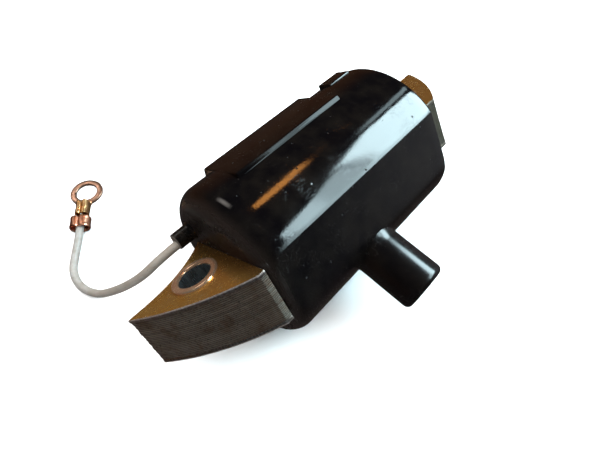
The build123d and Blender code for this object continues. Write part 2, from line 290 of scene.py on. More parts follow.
def shoe_outline(shoe, inset=0.0, with_limb=False):
    """Plan outline of a pole shoe, drawn to the right of the middle plane and mirrored for the front."""
    side, tip = shoe["side"] + inset, shoe["tip"] - inset
    radius = POLE_ARC_R - inset
    start = math.asin((side - FLYWHEEL_Y) / radius)
    end = math.asin((tip - FLYWHEEL_Y) / radius)
    points = []
    steps = 26
    for step in range(steps + 1):
        angle = start + (end - start) * step / steps
        points.append((radius * math.cos(angle), FLYWHEEL_Y + radius * math.sin(angle)))
    sweep_x = shoe["gap"] + shoe["sweep"]
    rise = shoe["root"] - shoe["tip"]
    sweep_r = (shoe["sweep"] ** 2 + rise**2) / (2 * rise)
    centre_y = shoe["tip"] + sweep_r
    turn = math.asin(shoe["sweep"] / sweep_r)
    sweep_steps = 14
    for step in range(sweep_steps + 1):
        angle = turn * step / sweep_steps
        reach = sweep_r + inset
        points.append((sweep_x - reach * math.sin(angle), centre_y - reach * math.cos(angle)))
    if with_limb:
        points += limb_points(shoe)
    points.append((shoe["gap"] + SHOE_SHY, side))
    return [(MIRROR_X + shoe["sign"] * x, y) for x, y in points]


def plate_with_hole(builder, outline, hole, hole_r, bottom, top, bevel, wobble=0.0):
    """Adds a flat plate with small bevelled edges and a round hole, in the coil's frame."""
    centre = Vector(hole)
    bore = circle(hole, hole_r, 48)
    middle = Vector((sum(p[0] for p in outline) / len(outline), sum(p[1] for p in outline) / len(outline)))
    shift = Vector((random.uniform(-wobble, wobble), random.uniform(-wobble, wobble)))

    def ring(points, z, pull, towards):
        verts = []
        for point in points:
            flat = Vector(point) + shift
            inward = (towards - flat).normalized() * pull
            verts.append(builder.verts.new(placed((flat.x + inward.x, flat.y + inward.y, z))))
        return verts

    levels = [(bottom, bevel), (bottom + bevel, 0.0), (top - bevel, 0.0), (top, bevel)]
    outer = [ring(outline, z, pull, middle) for z, pull in levels]
    inner = [ring(bore, z, 0.0, centre) for z in (bottom, top)]
    join_loops(builder, outer)
    join_loops(builder, inner, turned=True)
    fill_between(builder, outer[0], inner[0])
    fill_between(builder, outer[-1], inner[1])


def hole_of(shoe):
    return (MIRROR_X + shoe["sign"] * HOLE_OFFSET_X, HOLE_Y)


def make_laminations(name, shoe, node):
    builder = bmesh.new()
    for index in range(LAMINATION_COUNT):
        bottom = -STACK_HALF + index * LAMINATION_T
        inset = 0.03 + 0.10 * random.random() ** 2
        outline = shoe_outline(shoe, inset, with_limb=True)
        plate_with_hole(builder, outline, hole_of(shoe), EYELET_OUTER_R + HOLE_FREE,
                        bottom + SHEET_GAP, bottom + LAMINATION_T - SHEET_GAP, 0.06)
    return show(closed_mesh(name, builder), 25, node)


def make_plate(name, shoe, bottom, node):
    builder = bmesh.new()
    plate_with_hole(builder, shoe_outline(shoe), hole_of(shoe), EYELET_OUTER_R + HOLE_FREE,
                    bottom, bottom + PLATE_T, 0.12)
    return show(closed_mesh(name, builder), 40, node)


front_laminations = make_laminations("front_lamination_sheets", FRONT_SHOE, "front_core_laminations")
rear_laminations = make_laminations("rear_lamination_sheets", REAR_SHOE, "rear_core_laminations")
plates = [
    make_plate("front_plate_top", FRONT_SHOE, STACK_HALF, "front_top_plate"),
    make_plate("front_plate_bottom", FRONT_SHOE, -STACK_HALF - PLATE_T, "front_bottom_plate"),
    make_plate("rear_plate_top", REAR_SHOE, STACK_HALF, "rear_top_plate"),
    make_plate("rear_plate_bottom", REAR_SHOE, -STACK_HALF - PLATE_T, "rear_bottom_plate"),
]

# ---- mounting eyelets ----
EYELET_HOLE_R = 3.2
EYELET_FLANGE_R = 4.6
EYELET_FLANGE_T = 0.5


def make_eyelet(name, shoe, node):
    """Tube with a rolled flange at each end, its mouth turned out of the bore."""
    seat = STACK_HALF + PLATE_T
    crown = seat + EYELET_FLANGE_T
    half = [
        (EYELET_HOLE_R, crown), (EYELET_FLANGE_R, crown), (EYELET_FLANGE_R, seat), (EYELET_OUTER_R, seat),
    ]
    profile = half + [(r, -h) for r, h in reversed(half)]
    radii = [0.46, 0.40, 0.06, 0.02, 0.02, 0.06, 0.40, 0.46]
    x, y = hole_of(shoe)
    obj = lathe(name, rounded(profile, radii), TO_BENCH @ Matrix.Translation((x, y, 0)))
    return show(obj, 40, node)


eyelets = [
    make_eyelet("front_eyelet", FRONT_SHOE, "front_mounting_eyelet"),
    make_eyelet("rear_eyelet", REAR_SHOE, "rear_mounting_eyelet"),
]

# ---- case ----
CASE_WALL = 1.9
LIMB_WAY = ((-5.5, 5.5), (-5.1, 5.1))
LEAD_WAY_R = 1.2
FRONT_ROUND = 4.0
REAR_ROUND = 0.5
SIDE_FLAT = 16.3
PAD_X = (8.7, 36.3)
PAD_Y = (-5.5, 7.0)
LUG_X = (41.0, 47.5)
LUG_Y = (1.0, 5.0)
TOWER_X = 24.0
TOWER_DROP = math.radians(39.8)
TOWER_R = 5.35
TOWER_REACH = 29.9
SOCKET_R = 3.6
SOCKET_DEPTH = 9.0
SOCKET_BOTTOM = TOWER_REACH - SOCKET_DEPTH
PIN_WAY_R = 1.9
BOSS_AT = (7.5, 8.85)
LEAD_EXIT = (7.5, 8.25)

# Each flat: its direction round the axis from +y towards +z, its distance, and how far its two
# edges are blended, the one on the side of smaller angles first.
FLATS = [
    (math.pi, SIDE_FLAT, (0.05, 0.9)),
    (math.atan2(-math.cos(BENCH_ROLL), math.sin(BENCH_ROLL)), FOOT_REACH, (0.2, 0.2)),
]


def smooth_min(a, b, blend):
    """The smaller of two distances, with the change from one to the other rounded over blend."""
    if blend <= 0:
        return min(a, b)
    overlap = max(blend - abs(a - b), 0.0) / blend
    return min(a, b) - overlap * overlap * blend / 4


def case_radius(angle, round_inset, flat_inset):
    """Distance of the case's skin from its axis, in a direction round it."""
    reach = CASE_R - round_inset
    for direction, distance, blends in FLATS:
        off = (angle - direction + math.pi) % (2 * math.pi) - math.pi
        if abs(off) < 1.2:
            flat = (distance - flat_inset) / math.cos(off)
            reach = smooth_min(reach, flat, blends[0] if off < 0 else blends[1])
    return reach


def case_angles():
    """Directions round the case, closer together at the edges of the flats."""
    angles = {2 * math.pi * step / 288 for step in range(288)}
    for direction, distance, *_ in FLATS:
        half = math.acos(distance / CASE_R)
        for edge in (direction - half, direction + half):
            for offset in (-0.012, -0.005, 0.0, 0.005, 0.012):
                angles.add((edge + offset) % (2 * math.pi))
    return sorted(angles)


def case_rings():
    """Stations along the case, outside from the front to the rear and back inside: x, insets."""
    rings = [(0.0, CASE_R - r, 0.0) for r in (4.0, 9.0, 12.0)]
    for step in range(13):
        turn = math.pi / 2 * step / 12
        rings.append((FRONT_ROUND * (1 - math.sin(turn)), FRONT_ROUND * (1 - math.cos(turn)), 0.0))
    rings[3:] = list(reversed(rings[3:]))
    rings += [(x, 0.0, 0.0) for x in range(6, 47, 2)]
    for step in range(5):
        turn = math.pi / 2 * step / 4
        inset = REAR_ROUND * (1 - math.cos(turn))
        rings.append((CASE_L - REAR_ROUND * (1 - math.sin(turn)), inset, inset))
    rings += [(CASE_L, CASE_WALL - 0.25, CASE_WALL - 0.25), (CASE_L - 0.25, CASE_WALL, CASE_WALL)]
    rings += [(x, CASE_WALL, CASE_WALL) for x in (44.0, 24.0, 6.0)]
    rings += [(CASE_WALL, CASE_R - r, 0.0) for r in (12.0, 4.0)]
    return rings


def case_skin():
    angles = case_angles()
    builder = bmesh.new()
    loops = []
    for x, round_inset, flat_inset in case_rings():
        loop = []
        for angle in angles:
            reach = case_radius(angle, round_inset, flat_inset)
            loop.append(builder.verts.new(placed((x, reach * math.cos(angle), reach * math.sin(angle)))))
        loops.append(loop)
    join_loops(builder, loops)
    fan(builder, loops[0], placed((0, 0, 0)))
    fan(builder, loops[-1], placed((CASE_WALL, 0, 0)))
    return closed_mesh("case", builder)


def bevelled_block(name, x, y, z, bevel, taper=0.0):
    """A block between pairs of limits in the coil's frame, its top edges rounded and its sides drafted."""
    builder = bmesh.new()
    corners = {}
    for i, cx in enumerate(x):
        for j, cy in enumerate(y):
            for k, cz in enumerate(z):
                pull = taper if k == 0 else 0.0
                px = cx + (pull if i else -pull)
                py = cy + (pull if j else -pull)
                corners[i, j, k] = builder.verts.new((px, py, cz))
    for face in ("x0", "x1", "y0", "y1", "z0", "z1"):
        axis, side = "xyz".index(face[0]), int(face[1])
        loop = []
        for a, b in ((0, 0), (0, 1), (1, 1), (1, 0)):
            key = [a, b]
            key.insert(axis, side)
            loop.append(corners[tuple(key)])
        builder.faces.new(loop)
    bmesh.ops.recalc_face_normals(builder, faces=builder.faces)
    top = [edge for edge in builder.edges if sum(v.co.z > (z[0] + z[1]) / 2 for v in edge.verts)]
    bmesh.ops.bevel(builder, geom=top, offset=bevel, segments=4, profile=0.5, affect="EDGES")
    for vert in builder.verts:
        vert.co = placed(vert.co)
    return add_mesh(name, builder)


TOWER_TURN = Matrix.Rotation(math.pi / 2 + TOWER_DROP, 4, "X")
TOWER_PLACE = TO_BENCH @ Matrix.Translation((TOWER_X, 0, 0)) @ TOWER_TURN


def tower_solid():
    profile = [(0, 14.5), (5.9, 14.5), (5.9, 16.0), (5.55, 16.9), (TOWER_R, 18.0),
               (TOWER_R, TOWER_REACH), (0, TOWER_REACH)]
    radii = [0, 0, 0.3, 0.45, 0.5, 1.5, 0]
    return lathe("tower", rounded(profile, radii), TOWER_PLACE)


def socket_cutter():
    profile = [(0, 12.0), (PIN_WAY_R, 12.0), (PIN_WAY_R, SOCKET_BOTTOM), (SOCKET_R, SOCKET_BOTTOM),
               (SOCKET_R, TOWER_REACH - 0.2), (SOCKET_R + 0.2, TOWER_REACH),
               (SOCKET_R + 0.2, TOWER_REACH + 1), (0, TOWER_REACH + 1)]
    return lathe("socket", rounded(profile, [0, 0, 0.1, 0.3, 0.05, 0, 0, 0]), TOWER_PLACE)


def boolean(obj, other, operation):
    modifier = obj.modifiers.new(operation, "BOOLEAN")
    modifier.operation = operation
    modifier.solver = "EXACT"
    modifier.object = other
    apply_modifiers(obj)
    bpy.data.objects.remove(other)


def along_case(y, z):
    """Turns a lathe's axis to run along the case."""
    return TO_BENCH @ Matrix.Translation((0, y, z)) @ Matrix.Rotation(math.pi / 2, 4, "Y")


def x_rod(name, radius, start, end, y, z):
    profile = [(0, start), (radius, start), (radius, end), (0, end)]
    return lathe(name, profile, along_case(y, z), 48)


def make_case():
    case = case_skin()
    boolean(case, bevelled_block("pad", PAD_X, PAD_Y, (13.0, CASE_R), 0.22, 1.0), "UNION")
    lug = bevelled_block("lug", LUG_X, LUG_Y, (12.0, CASE_R + 0.28), 0.3)
    boolean(case, lug, "UNION")
    boolean(case, tower_solid(), "UNION")
    boolean(case, socket_cutter(), "DIFFERENCE")
    limb = bevelled_block("limb", (-1, 3), *LIMB_WAY, 0.05)
    boolean(case, limb, "DIFFERENCE")
    boolean(case, x_rod("way", LEAD_WAY_R, -1, 3, *LEAD_EXIT), "DIFFERENCE")
    return show(case, 28, "coil_case")


case_moulding = make_case()

# ---- outlet boss and lead ----
BOSS_R = 1.75
BOSS_L = 3.8


def make_grommet():
    """Round boss on the front of the case, with a shallow collar round the lead."""
    profile = [(0, -BOSS_L), (BOSS_R, -BOSS_L), (BOSS_R, -0.5), (BOSS_R + 0.35, 0.0), (0, 0.0)]
    grommet = lathe("outlet_boss", rounded(profile, [0, 0.18, 0.3, 0, 0]), along_case(*BOSS_AT), 64)
    return show(grommet, 50, "lead_grommet")


outlet_boss = make_grommet()

# ---- ring terminal ----
# The terminal's own frame: x along the lead towards the ring, y across and z up from the bench.
RING_OUTER_R = 4.1
RING_HOLE_R = 2.65
SHEET_T = 0.7
CRIMP_SHEET_T = 0.5
CRIMP_AXIS_Z = 1.7
WIRE_CRIMP_X = (1.2, 5.2)
INSULATION_CRIMP_X = (-3.0, 0.0)
RING_X = 9.5
STRAND_R = 0.16


def terminal_place():
    before, end = (Vector(point[:2]) for point in LEAD_ROUTE[-2:])
    heading = end - before
    return Matrix.Translation((*end, 0)) @ Matrix.Rotation(math.atan2(heading.y, heading.x), 4, "Z")


TERMINAL_PLACE = terminal_place()


def spline_through(points, steps=6):
    """A smooth line through 2-D points, as a longer list of points."""
    result = []
    ends = [points[0]] + list(points) + [points[-1]]
    for a, b, c, d in zip(ends, ends[1:], ends[2:], ends[3:]):
        for step in range(steps):
            t = step / steps
            weights = (-0.5 * t + t**2 - 0.5 * t**3, 1 - 2.5 * t**2 + 1.5 * t**3,
                       0.5 * t + 2 * t**2 - 1.5 * t**3, -0.5 * t**2 + 0.5 * t**3)
            result.append(tuple(sum(w * p[k] for w, p in zip(weights, (a, b, c, d))) for k in (0, 1)))
    result.append(tuple(points[-1]))
    return result


def sheet_section(centre_line, thickness):
    """Outline of a bent sheet of even thickness round its centre line, with rounded free edges."""
    left, right = [], []
    count = len(centre_line)
    for index, point in enumerate(centre_line):
        before = Vector(centre_line[max(index - 1, 0)])
        after = Vector(centre_line[min(index + 1, count - 1)])
        along = (after - before).normalized()
        across = Vector((-along.y, along.x)) * thickness / 2
        left.append(Vector(point) + across)
        right.append(Vector(point) - across)
    nose = []
    for end, start in ((Vector(centre_line[-1]), left[-1]), (Vector(centre_line[0]), right[0])):
        nose.append([end + Matrix.Rotation(-math.pi * step / 4, 2) @ (start - end) for step in (1, 2, 3)])
    return left + nose[0] + list(reversed(right)) + nose[1]


def loft(builder, stations, matrix):
    """Joins rings of 3-D points, all of one length, into a closed solid."""
    loops = [[builder.verts.new((matrix @ Vector(point)) * MM) for point in ring] for ring in stations]
    join_loops(builder, loops)
    for loop in (loops[0], loops[-1]):
        builder.faces.new(loop)


def crimp_stations(limits, centre_of, thickness, steps, mouth):
    """Sections along a crimp barrel. centre_of gives the sheet's centre line at t from 0 to 1."""
    stations = []
    for step in range(steps + 1):
        t = step / steps
        x = limits[0] + (limits[1] - limits[0]) * t
        end = min(t, 1 - t) * (limits[1] - limits[0])
        flare = 1 + mouth * max(0.0, 1 - end / 0.7) ** 2
        pinch = thickness * (0.55 if step in (0, steps) else 1.0)
        section = sheet_section(centre_of(t), pinch)
        stations.append([(x, y * flare, max((z - CRIMP_AXIS_Z) * flare + CRIMP_AXIS_Z, 0.02))
                         for y, z in section])
    return stations


def wire_crimp_line(t):
    """B-shaped barrel: both wings roll over the strands and dive back into the middle."""
    wave = 0.05 * math.sin(9 * t)
    half = [(0.0, 0.32), (0.75, 0.36), (1.28, 0.85), (1.36, 1.6),
            (1.22, 2.3), (0.80, 2.78), (0.36, 2.66), (0.27, 2.1)]
    left = [(-y + wave, z) for y, z in reversed(half[1:])]
    return spline_through(left + [(y + wave, z) for y, z in half], 4)


def insulation_crimp_line(t):
    """Wings folded round the insulation to a seam on top, the right one standing a little higher."""
    sag = 0.10 * math.cos(5 * t)
    left = [(0.14, 2.86), (-0.42, 3.04 - sag), (-1.05, 3.02), (-1.64, 2.70),
            (-2.05, 2.05), (-2.06, 1.2), (-1.55, 0.55), (-0.8, 0.33)]
    right = [(0.0, 0.31), (0.8, 0.33), (1.58, 0.55), (2.12, 1.2), (2.16, 2.05),
             (1.86, 2.75), (1.28, 3.14 - sag), (0.74, 3.12), (0.40, 2.94)]
    return spline_through(left + right, 4)


def neck_outline():
    """Plan of the flat sheet: ring, neck and the floor below the two crimps."""
    points = []
    neck_half, floor_half = 1.55, 1.15
    start = math.asin(neck_half / RING_OUTER_R)
    for step in range(65):
        angle = math.pi - start - 2 * (math.pi - start) * step / 64
        points.append((RING_X + RING_OUTER_R * math.cos(angle), RING_OUTER_R * math.sin(angle)))
    points += [(4.9, -1.35), (1.4, -floor_half), (-0.2, -floor_half), (-2.8, -floor_half)]
    points += [(-2.8, floor_half), (-0.2, floor_half), (1.4, floor_half), (4.9, 1.35)]
    return points


def terminal_plate(builder):
    """The flat sheet with its hole, its sheared edges slightly rounded."""
    outline = neck_outline()
    hole = circle((RING_X, 0), RING_HOLE_R, 64)

    def ring(points, z, scale):
        centre = Vector((RING_X, 0))
        verts = []
        for point in points:
            flat = centre + (Vector(point) - centre) * scale
            verts.append(builder.verts.new((TERMINAL_PLACE @ Vector((*flat, z))) * MM))
        return verts

    levels = [(0.02, 0.982), (0.10, 1.0), (SHEET_T - 0.12, 1.0), (SHEET_T - 0.03, 0.988), (SHEET_T, 0.972)]
    bores = [(0.02, 1.02), (0.12, 1.0), (SHEET_T - 0.14, 1.0), (SHEET_T - 0.03, 1.02), (SHEET_T, 1.05)]
    outer = [ring(outline, z, scale) for z, scale in levels]
    inner = [ring(hole, z, scale) for z, scale in bores]
    join_loops(builder, outer)
    join_loops(builder, inner, turned=True)
    fill_between(builder, outer[0], inner[0])
    fill_between(builder, outer[-1], inner[-1])


def transition_line(t):
    """Shallow trough between the wire crimp and the ring, its walls dying away towards the ring."""
    rise = 1.5 * (1 - t) ** 1.4
    half = [(0.0, 0.34), (0.7, 0.36), (1.15, 0.45 + 0.25 * rise), (1.35, 0.45 + rise)]
    left = [(-y, z) for y, z in reversed(half[1:])]
    return spline_through(left + half, 4)


def make_terminal():
    builder = bmesh.new()
    terminal_plate(builder)
    parts = (
        (WIRE_CRIMP_X, wire_crimp_line, CRIMP_SHEET_T, 14, 0.07),
        (INSULATION_CRIMP_X, insulation_crimp_line, CRIMP_SHEET_T, 12, 0.05),
        ((0.0, 1.2), lambda t: transition_line(0.35 + 0.3 * abs(2 * t - 1)), CRIMP_SHEET_T, 5, 0.0),
        ((5.2, 6.6), transition_line, CRIMP_SHEET_T * 0.9, 6, 0.0),
    )
    for limits, line, thickness, steps, mouth in parts:
        loft(builder, crimp_stations(limits, line, thickness, steps, mouth), TERMINAL_PLACE)
    return show(closed_mesh("terminal_stamping", builder), 48, "ring_terminal")


terminal = make_terminal()


def make_strands():
    """Twisted strands of the conductor, from inside the insulation to just past the wire crimp."""
    builder = bmesh.new()
    layers = ((0.0, 1), (0.34, 6))
    sides = 8
    for layer_r, count in layers:
        for strand in range(count):
            reach = 5.9 + random.uniform(-0.25, 0.1)
            stations = []
            steps = 30
            for step in range(steps + 1):
                x = -0.6 + (reach + 0.6) * step / steps
                spread = 1 + 0.35 * max(0.0, x - 5.0)
                turn = 2 * math.pi * strand / count + x * 0.9
                y = layer_r * spread * math.cos(turn)
                z = layer_r * spread * math.sin(turn) - 0.25 * max(0.0, x - 5.0)
                ring = []
                for side in range(sides):
                    a = 2 * math.pi * side / sides
                    ring.append((x, y + STRAND_R * math.cos(a), CRIMP_AXIS_Z + z + STRAND_R * math.sin(a)))
                stations.append(ring)
            loft(builder, stations, TERMINAL_PLACE)
    return show(closed_mesh("conductor_strands", builder), 50, "lead_conductor")


strands = make_strands()

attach(lead_wire, "root")
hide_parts("primary_lead")

# ---- resin face and HT contact ----
POTTING_RECESS = 0.5
RESIN_BODY_X = 2.2
RESIN_RISE = 0.30
CAVITY_R = 14.5
CAVITY_X = (3.5, 43.5)
TOWER_WAY_R = 5.45
CONTACT_FOOT = 14.4
CONTACT_R = 1.85


def make_resin():
    """The cast resin in the case, its open rear face drawn up a little where it wets the wall."""
    angles = [2 * math.pi * step / 180 for step in range(180)]
    builder = bmesh.new()
    loops = []
    rear = CASE_L - POTTING_RECESS
    inside = CASE_WALL + 0.03
    stations = [(RESIN_BODY_X, inside + 2), (RESIN_BODY_X + 2, inside), (24.0, inside), (rear - 0.02, inside)]
    stations += [(rear - 0.10, inside + 0.35), (rear - 0.20, inside + 1.1), (rear - 0.26, inside + 2.6)]
    stations += [(rear - RESIN_RISE, inside + r) for r in (5.0, 7.5, 10.0, 12.5)]
    for x, inset in stations:
        loop = []
        for angle in angles:
            reach = case_radius(angle, inset, inset)
            flat = Vector((reach * math.cos(angle), reach * math.sin(angle)))
            ripple = 0.0
            if x > CASE_L / 2 and inset > inside + 1:
                ripple = 0.10 * noise.noise(Vector((flat.x * 0.16, flat.y * 0.16, 3.0)))
            loop.append(builder.verts.new(placed((x + ripple, flat.x, flat.y))))
        loops.append(loop)
    join_loops(builder, loops)
    fan(builder, loops[0], placed((RESIN_BODY_X, 0, 0)))
    fan(builder, loops[-1], placed((rear - RESIN_RISE, 0, 0)))
    resin = closed_mesh("potting_fill", builder)
    limb = bevelled_block("limb_way", (0, 49), *LIMB_WAY, 0.05)
    boolean(resin, limb, "DIFFERENCE")
    cavity = x_rod("cavity", CAVITY_R, *CAVITY_X, 0, 0)
    boolean(resin, cavity, "DIFFERENCE")
    tower_way = lathe("tower_way", [(0, 0), (TOWER_WAY_R, 0), (TOWER_WAY_R, 18), (0, 18)], TOWER_PLACE)
    boolean(resin, tower_way, "DIFFERENCE")
    return show(resin, 30, "potting_resin")


potting_fill = make_resin()


def make_contact():
    """Turned contact pin in the socket, with a threaded point for the plug lead."""
    shoulder = SOCKET_BOTTOM - 2.0
    profile = [(0, CONTACT_FOOT), (CONTACT_R, CONTACT_FOOT), (CONTACT_R, shoulder)]
    thread = shoulder + 0.05
    pitch = 0.24
    profile += [(0.95, thread)]
    radius = 0.92
    while thread < SOCKET_BOTTOM - 0.35:
        profile += [(radius, thread + pitch / 2), (radius - 0.16, thread + pitch)]
        thread += pitch
        radius -= 0.09
    profile += [(0.12, SOCKET_BOTTOM - 0.1), (0, SOCKET_BOTTOM - 0.05)]
    pin = lathe("contact_pin", profile, TOWER_PLACE, 48)
    return show(pin, 35, "ht_contact_pin")


contact_pin = make_contact()

# ---- materials ----
# Every pattern is drawn in the coil's frame, or its piece's own, in millimetres: a pattern of scale 2
# has features of about half a millimetre.


class Nodes:
    """Short ways to add nodes to a tree. A value is a number, a colour or another node's output."""

    def __init__(self, tree):
        self.tree = tree

    def wire(self, value, socket):
        if isinstance(value, bpy.types.NodeSocket):
            self.tree.links.new(value, socket)
        else:
            socket.default_value = value

    def node(self, kind, output, inputs, **settings):
        """One output of a new node, given its inputs and settings."""
        made = self.tree.nodes.new("ShaderNode" + kind)
        for name, value in settings.items():
            setattr(made, name, value)
        for name, value in inputs.items():
            self.wire(value, made.inputs[name])
        return made.outputs[output]

    def maths(self, operation, a, b=0.0, clamp=False):
        return self.node("Math", 0, {0: a, 1: b}, operation=operation, use_clamp=clamp)

    def times(self, a, b):
        return self.maths("MULTIPLY", a, b)

    def plus(self, a, b, clamp=False):
        return self.maths("ADD", a, b, clamp)

    def part(self, vector, letter):
        return self.node("SeparateXYZ", letter, {0: vector})

    def span(self, value, low, high, to_low=0.0, to_high=1.0):
        """value from low to high, turned into to_low to to_high and held there."""
        limits = {"From Min": low, "From Max": high, "To Min": to_low, "To Max": to_high}
        return self.node("MapRange", "Result", {"Value": value, **limits}, interpolation_type="SMOOTHSTEP")

    def mix(self, factor, a, b):
        """Colour a where factor is 0, colour b where it is 1."""
        made = self.tree.nodes.new("ShaderNodeMix")
        made.data_type = "RGBA"
        self.wire(factor, made.inputs["Factor"])
        colours = [socket for socket in made.inputs if socket.type == "RGBA"]
        for socket, value in zip(colours, (a, b)):
            self.wire(value if isinstance(value, bpy.types.NodeSocket) else (*value, 1.0), socket)
        return next(socket for socket in made.outputs if socket.type == "RGBA")


class Paint(Nodes):
    """A node material round one Principled shader."""

    def __init__(self, name, place=TO_BENCH, **sockets):
        self.material = bpy.data.materials.new(name)
        self.material.use_nodes = True
        super().__init__(self.material.node_tree)
        self.shader = self.tree.nodes["Principled BSDF"]
        self.set(**sockets)
        to_coil = place.inverted()
        self.place = self.node("Mapping", 0, {
            "Vector": self.node("TexCoord", "Object", {}), "Location": to_coil.to_translation(),
            "Rotation": to_coil.to_euler(), "Scale": (1 / MM, 1 / MM, 1 / MM)})

    def set(self, **values):
        for socket, value in values.items():
            self.wire(value, self.shader.inputs[socket.replace("_", " ")])
        return self.material

    def finish(self, base, rough, normal, **others):
        return self.set(Base_Color=base, Roughness=rough, Normal=normal, **others)

    def stretched(self, *scales):
        """The place with each axis scaled."""
        return self.node("VectorMath", 0, {0: self.place, 1: scales}, operation="MULTIPLY")

    def axis(self, letter):
        return self.part(self.place, letter)

    def noise(self, scale, detail=3.0, roughness=0.5, vector=None, distortion=0.0):
        return self.node("TexNoise", "Fac", {
            "Vector": self.place if vector is None else vector, "Scale": scale,
            "Detail": detail, "Roughness": roughness, "Distortion": distortion})

    def specks(self, dot, patch):
        """Dots in patches. Each of the two is given as a scale and the values between which it fades."""
        scale, *limits = dot
        cells = self.node("TexVoronoi", "Distance", {"Vector": self.place, "Scale": scale})
        scale, *patch_limits = patch
        return self.times(self.span(cells, *limits), self.span(self.noise(scale, 2.0), *patch_limits))

    def white_noise(self, value):
        return self.node("TexWhiteNoise", "Value", {"W": value}, noise_dimensions="1D")

    def over(self, base, where, amount, colour):
        """Lays a colour over the base, by amount, where the pattern is 1."""
        return self.mix(self.times(where, amount), base, colour)

    def layers(self, base, coats):
        for where, amount, colour in coats:
            base = self.over(base, where, amount, colour)
        return base

    def bump(self, height, depth, strength=1.0, under=None):
        """depth is the relief in millimetres between height 0 and height 1."""
        below = {} if under is None else {"Normal": under}
        return self.node("Bump", "Normal", {
            "Distance": depth * MM, "Strength": strength, "Height": height, **below})

    def hollow(self, where, depth, strength, under):
        return self.bump(self.times(where, -1.0), depth, strength, under)


def scratches(paint, scale, stretch, width=0.012, patch=0.35):
    """Thin wandering lines, where a noise drawn out along one axis crosses its middle value, in patches."""
    lines = paint.noise(scale, 1.0, 0.4, paint.stretched(*stretch), 0.3)
    off_middle = paint.maths("ABSOLUTE", paint.maths("SUBTRACT", lines, 0.5))
    thin = paint.span(off_middle, 0.0, width, 1.0, 0.0)
    return paint.times(thin, paint.span(paint.noise(patch, 2.0), 0.56, 0.66))


def case_paint():
    """Glossy black moulding, polished and dusty by handling, its side flat, platform and end duller."""
    paint = Paint("case plastic", IOR=1.54)
    x, y, z = (paint.axis(letter) for letter in "XYZ")
    cloud = paint.noise(0.22, 4.0, 0.6)
    fine = paint.noise(9.0, 4.0, 0.65)
    lines = scratches(paint, 1.2, (0.30, 1.6, 1.3), 0.008, 0.12)
    cross = scratches(paint, 0.9, (1.7, 0.4, 0.9), 0.006, 0.15)
    marks = paint.plus(lines, cross, clamp=True)
    dust = paint.specks((0.8, 0.055, 0.03), (0.35, 0.60, 0.66))
    pock = paint.specks((0.42, 0.100, 0.070), (0.16, 0.44, 0.50))
    flat = paint.span(y, -15.9, -16.2)
    pad = paint.span(z, 16.9, 17.4)
    worn = paint.plus(flat, paint.times(pad, 0.8), clamp=True)
    end = paint.span(x, 2.4, 0.3)

    base = paint.mix(paint.span(cloud, 0.35, 0.7), (0.0012, 0.0010, 0.0013), (0.0035, 0.0028, 0.0024))
    base = paint.layers(base, (
        (marks, 0.25, (0.030, 0.028, 0.027)),
        (dust, 0.6, (0.20, 0.19, 0.17)),
    ))
    base = paint.mix(end, base, (0.0120, 0.0090, 0.0078))
    rough = paint.span(cloud, 0.3, 0.75, 0.05, 0.10)
    for pattern, amount in ((pock, 0.35), (fine, 0.03), (end, 0.20), (worn, 0.14)):
        rough = paint.plus(rough, paint.times(pattern, amount))
    rough = paint.plus(rough, paint.times(marks, 0.10), clamp=True)

    skin = paint.bump(paint.noise(0.16, 2.0, 0.4, paint.stretched(0.5, 1, 1)), 0.10, 0.55)
    skin = paint.bump(paint.noise(2.6, 3.0, 0.55), 0.010, 0.6, skin)
    for pattern, depth, strength in ((marks, 0.006, 0.8), (dust, 0.03, 0.6), (pock, 0.12, 1.0)):
        skin = paint.hollow(pattern, depth, strength, skin)
    start, stop = PAD_X
    side = PAD_Y[0]
    pad_x = paint.times(paint.span(x, start - 0.3, start - 0.1), paint.span(x, stop + 0.3, stop + 0.1))
    pad_side = paint.times(paint.span(y, side - 0.3, side - 0.2), paint.span(y, side + 0.6, side + 0.3))
    dull = paint.maths("MAXIMUM", paint.times(pad_x, pad_side), end)
    return paint.finish(base, rough, skin, Specular_IOR_Level=paint.span(dull, 0.0, 1.0, 0.45, 0.12))


def rear_shade(paint):
    """1 on the rear shoe, which is duller and is painted dark as painted shade, and 0 on the front one."""
    return paint.span(paint.axis("X"), 44.0, 48.0)


def gold_paint():
    """Yellow passivated zinc on rolled sheet: gold with redder and greener stains, painted dark next to the
    case as a painted reflection of the black case.
    """
    paint = Paint("zinc passivate", Metallic=0.94)
    x = paint.axis("X")
    fleck = paint.noise(0.8, 3.0, 0.55)
    marks = scratches(paint, 1.6, (0.3, 1.5, 1.0), 0.012, 0.4)
    stain = paint.noise(0.16, 3.0, 0.6, distortion=0.6)
    gold = paint.mix(paint.span(stain, 0.35, 0.65), (0.88, 0.51, 0.11), (0.82, 0.53, 0.16))
    gold = paint.layers(gold, (
        (paint.span(x, -17.0, -3.0), 0.6, (0.78, 0.41, 0.12)),
        (paint.span(fleck, 0.45, 0.75), 0.22, (0.66, 0.40, 0.19)),
        (paint.span(paint.noise(0.5, 2.0), 0.6, 0.75), 0.25, (0.55, 0.60, 0.38)),
    ))
    # Painted reflection and shade: next to both ends of the case the gold is painted dark brown, standing in
    # for the black case seen in it.
    from_middle = paint.maths("ABSOLUTE", paint.maths("SUBTRACT", x, MIRROR_X))
    dirt_and_painted_shade = paint.span(from_middle, MIRROR_X + 5.0, MIRROR_X + 0.5, 0.0, 0.75)
    gold = paint.mix(dirt_and_painted_shade, gold, (0.20, 0.095, 0.030))
    gold = paint.over(gold, marks, 0.2, (0.92, 0.84, 0.66))
    rough = paint.plus(paint.span(fleck, 0.3, 0.75, 0.18, 0.30), paint.times(marks, 0.15), clamp=True)
    rolled = paint.bump(paint.noise(3.0, 3.0, 0.6, paint.stretched(0.08, 1.6, 1)), 0.003, 0.5)
    return paint.finish(gold, rough, paint.bump(paint.noise(0.30, 2.0), 0.05, 0.4, rolled))


